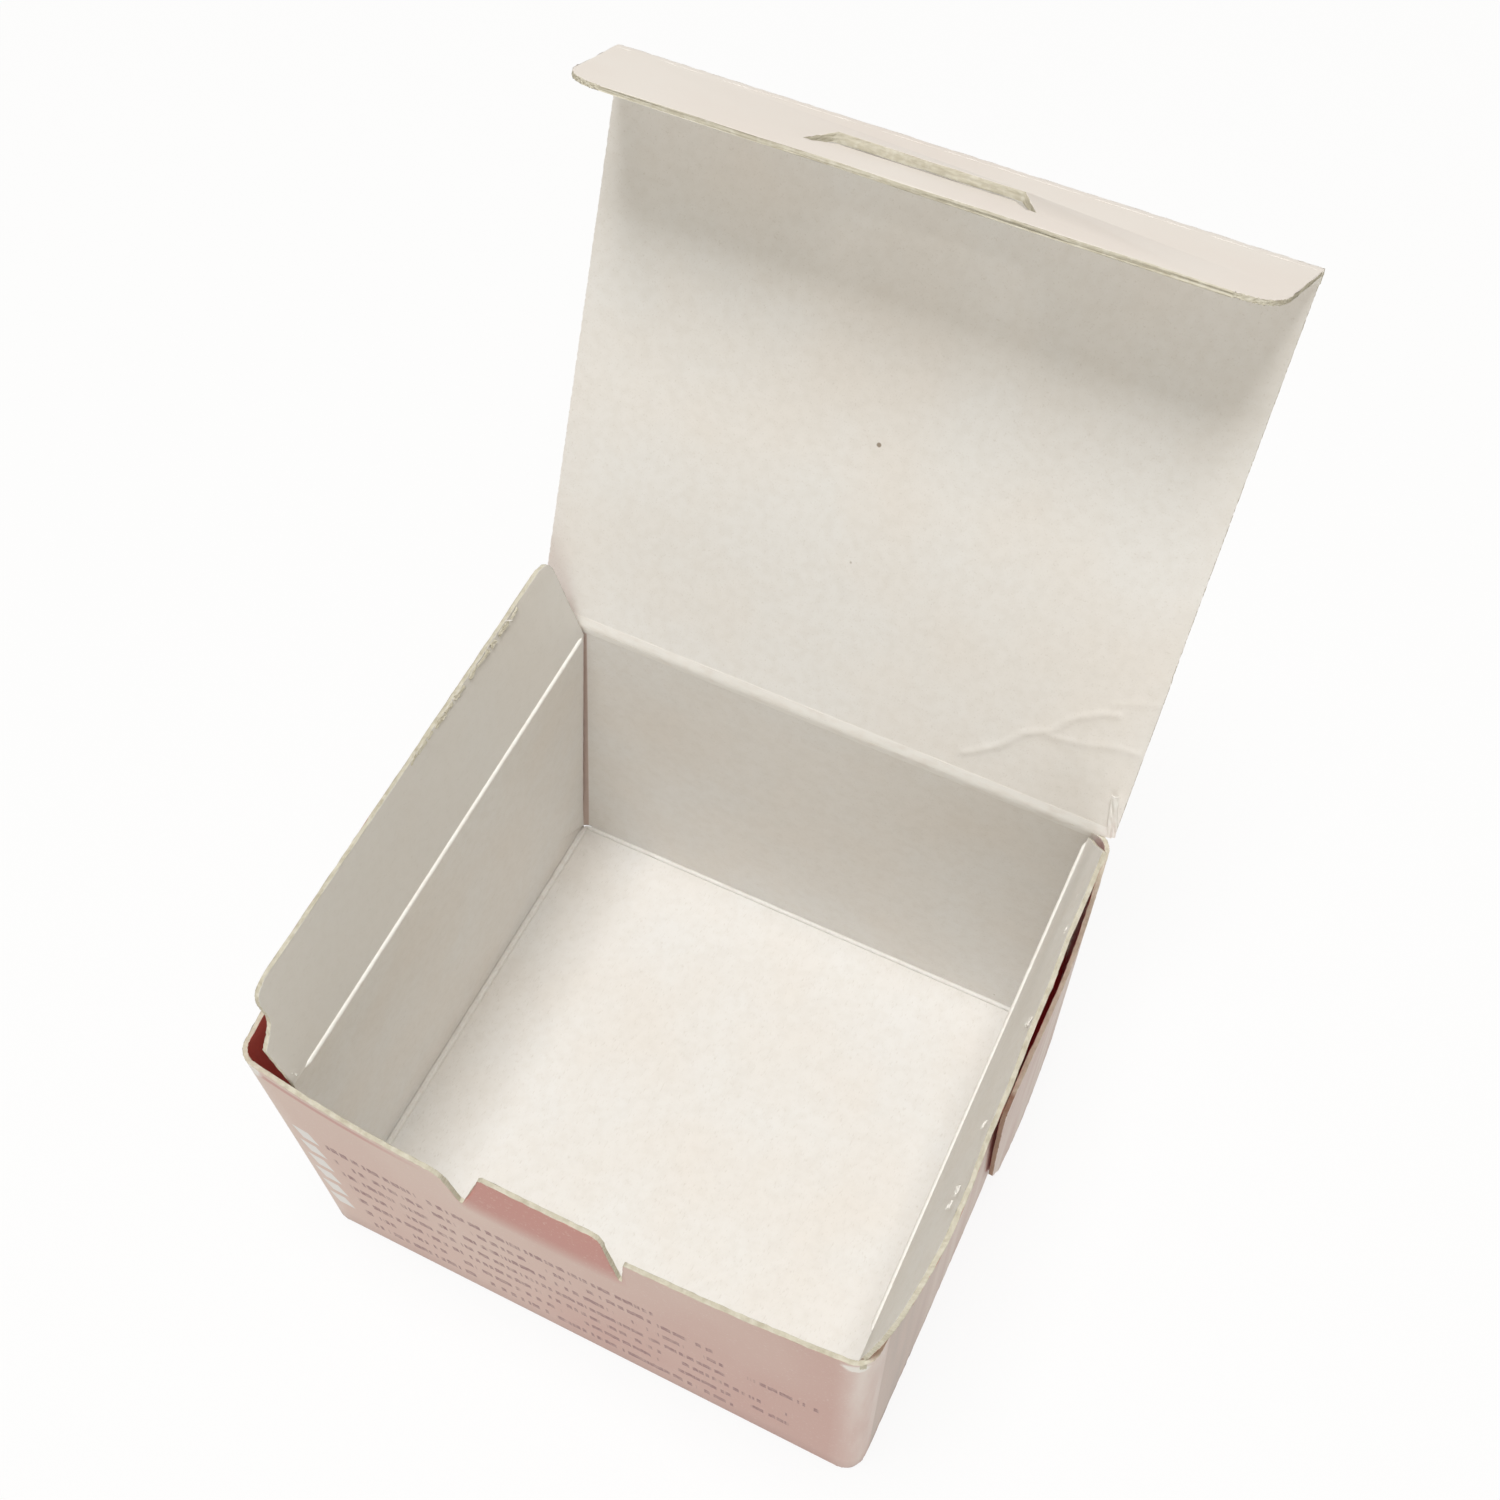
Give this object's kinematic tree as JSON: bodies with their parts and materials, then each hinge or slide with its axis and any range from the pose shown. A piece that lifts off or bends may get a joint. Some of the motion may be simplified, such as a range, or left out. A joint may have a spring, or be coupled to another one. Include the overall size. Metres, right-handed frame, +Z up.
{
  "type": "folding carton",
  "caption": "Small folded board carton with an open hinged lid, tuck flap, lock tab, side dust flaps and lapped corner ears.",
  "frame": {"origin": "middle of the underside of the floor panel", "axes": "+Z up from the surface the carton stands on, -Y towards its front wall with the lock tab, +X to the right seen from the front"},
  "size_m": [0.0739, 0.0913, 0.1117],
  "materials": {
    "printed_board": "matte print outside, uncoated inside",
    "plain_board": "uncoated board"
  },
  "bodies": {
    "tray": {"carton_tray": "printed_board"},
    "lid": {"lid_panel": "plain_board"},
    "tuck": {"tuck_flap": "plain_board"}
  },
  "joints": [
    {"name": "lid_hinge", "type": "hinge", "parent": "tray", "child": "lid", "pos_m": [0, 0.031, 0.0485], "axis": [-1, 0, 0], "range_deg": [-25, 90]},
    {"name": "tuck_fold", "type": "hinge", "parent": "lid", "child": "tuck", "pos_m": [0, 0.05779, 0.10508], "axis": [1, 0, 0], "range_deg": [-90, 75]}
  ]
}
